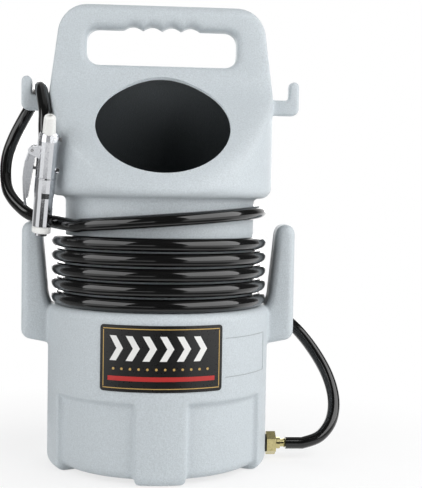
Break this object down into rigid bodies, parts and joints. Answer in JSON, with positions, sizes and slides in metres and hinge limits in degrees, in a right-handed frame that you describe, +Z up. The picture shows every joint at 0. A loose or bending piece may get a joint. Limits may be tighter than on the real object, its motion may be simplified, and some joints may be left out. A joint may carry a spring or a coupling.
{
  "type": "siphon abrasive blaster hopper",
  "caption": "Portable siphon abrasive blaster: moulded round hopper with slanted fill hole, carry handle, hose hooks, wound material hose and trigger blast gun.",
  "frame": {"origin": "centre of the base on the floor, on the hopper's own axis", "axes": "+Z up the hopper's axis, -Y towards the fill hole and label, +X towards the outlet fitting"},
  "size_m": [0.4203, 0.2609, 0.538],
  "materials": {
    "grey_plastic": "moulded, fine grain",
    "black_label": "printed film",
    "black_hose": "glossy smooth",
    "brass": "machined",
    "black_rubber": "matt",
    "chrome": "polished plating",
    "steel": "plain",
    "white_ceramic": "fired ceramic",
    "white_collar": "moulded"
  },
  "bodies": {
    "hopper_and_gun": {"hopper": "grey_plastic", "front_label": "black_label", "outlet_fitting": "brass", "outlet_outer_washer": "black_rubber", "outlet_inner_washer": "black_rubber", "outlet_lock_nut": "brass", "outlet_barb": "brass", "hose_coil": "black_hose", "hose_gun_run": "black_hose", "hose_outlet_run": "black_hose", "gun_body": "chrome", "gun_handle": "chrome", "handle_joint_ring": "chrome", "air_inlet_nipple": "chrome", "air_inlet_collar": "white_collar", "blast_nozzle": "white_ceramic", "air_jet": "steel", "nozzle_set_screw": "steel", "stem_seal": "black_rubber", "valve_plug": "chrome", "valve_spring": "steel", "trigger_pin": "steel", "material_barb": "brass"},
    "trigger": {"trigger_lever": "chrome"},
    "stem": {"valve_stem": "steel"}
  },
  "joints": [
    {"name": "trigger_hinge", "type": "hinge", "parent": "hopper_and_gun", "child": "trigger", "pos_m": [-0.14346, -0.07756, 0.36418], "axis": [-0.015, -0.9856, -0.1685], "range_deg": [0, 5.5], "stiffness_Nm_per_rad": 0.9},
    {"name": "stem_slide", "type": "slide", "parent": "hopper_and_gun", "child": "stem", "axis": [0.9961, 0, -0.0888], "range_m": [0, 0.0018], "deforming": ["valve_spring"]}
  ],
  "couplings": [
    {"joint": "stem_slide", "follows": "trigger_hinge", "m_per_rad": 0.0187}
  ]
}
